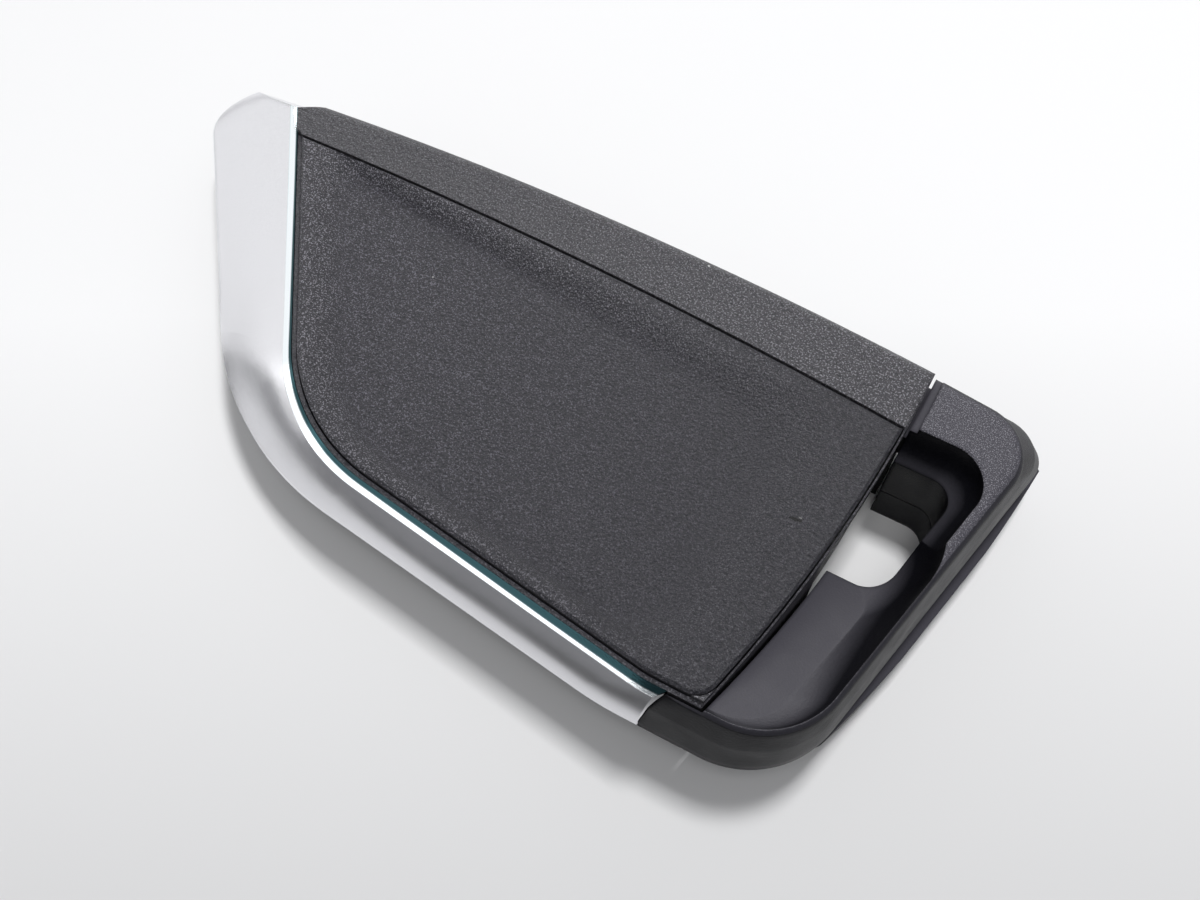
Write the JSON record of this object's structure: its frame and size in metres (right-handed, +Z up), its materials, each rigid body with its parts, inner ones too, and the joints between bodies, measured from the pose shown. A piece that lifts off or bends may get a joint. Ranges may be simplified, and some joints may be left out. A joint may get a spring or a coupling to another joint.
{
  "type": "car key",
  "caption": "Smart car key fob: slanted charcoal body with a silver side trim, battery cover with a scooped recess, buttons and an emergency key in its ring loop.",
  "frame": {"origin": "middle of the fob's length and width, on the plane of its front face, which lies down", "axes": "+X towards the key ring loop, +Y towards the straight edge, +Z up out of the battery cover"},
  "size_m": [0.085, 0.038, 0.015],
  "materials": {
    "cover_plastic": "fine grain with a faint sparkle, charcoal",
    "grained_plastic": "slightly coarser leather-like grain, charcoal",
    "case_plastic": "satin black",
    "head_plastic": "smooth satin black",
    "silver_trim": "satin silver with a polished crest",
    "panel_gloss": "gloss black",
    "button_plastic": "satin black",
    "seal_rubber": "matt black",
    "board": "green lacquer",
    "chip_plastic": "matt black",
    "plated_steel": "nickel plated",
    "ferrite": "dark grey ferrite",
    "copper": "enamelled copper wire",
    "ceramic": "tan ceramic",
    "blade_steel": "milled, nickel plated"
  },
  "bodies": {
    "case": {"rear_case": "grained_plastic", "cover_seal": "seal_rubber", "side_trim": "silver_trim", "front_case": "case_plastic", "front_panel": "panel_gloss", "circuit_board": "board", "processor_chip": "chip_plastic", "radio_chip": "chip_plastic", "crystal": "plated_steel", "transponder_core": "ferrite", "transponder_winding": "copper", "antenna_core": "ferrite", "antenna_winding": "copper", "board_capacitors": "ceramic", "plus_contact": "plated_steel", "minus_contact": "plated_steel", "latch_spring": "plated_steel", "coin_cell": "plated_steel", "unlock_switch": "plated_steel", "lock_switch": "plated_steel", "boot_switch": "plated_steel"},
    "cover": {"battery_cover": "cover_plastic"},
    "key": {"key_head": "head_plastic", "key_head_cap": "head_plastic", "key_blade": "blade_steel", "blade_pin": "blade_steel"},
    "latch": {"release_latch": "case_plastic"},
    "unlock": {"unlock_button": "button_plastic", "unlock_plunger": "chip_plastic"},
    "lock": {"lock_button": "button_plastic", "lock_plunger": "chip_plastic"},
    "boot": {"boot_button": "button_plastic", "boot_plunger": "chip_plastic"}
  },
  "joints": [
    {"name": "cover_lift", "type": "slide", "parent": "case", "child": "cover", "axis": [0, 0, 1], "range_m": [0, 0.018]},
    {"name": "key_slide", "type": "slide", "parent": "case", "child": "key", "axis": [1, 0, 0], "range_m": [0, 0.052]},
    {"name": "latch_press", "type": "slide", "parent": "case", "child": "latch", "axis": [0, -1, 0], "range_m": [0, 0.0008], "stiffness_N_per_m": 800, "deforming": ["latch_spring"]},
    {"name": "unlock_press", "type": "slide", "parent": "case", "child": "unlock", "axis": [0, 0, 1], "range_m": [0, 0.0005], "stiffness_N_per_m": 1500},
    {"name": "lock_press", "type": "slide", "parent": "case", "child": "lock", "axis": [0, 0, 1], "range_m": [0, 0.0005], "stiffness_N_per_m": 1500},
    {"name": "boot_press", "type": "slide", "parent": "case", "child": "boot", "axis": [0, 0, 1], "range_m": [0, 0.0005], "stiffness_N_per_m": 1500}
  ]
}
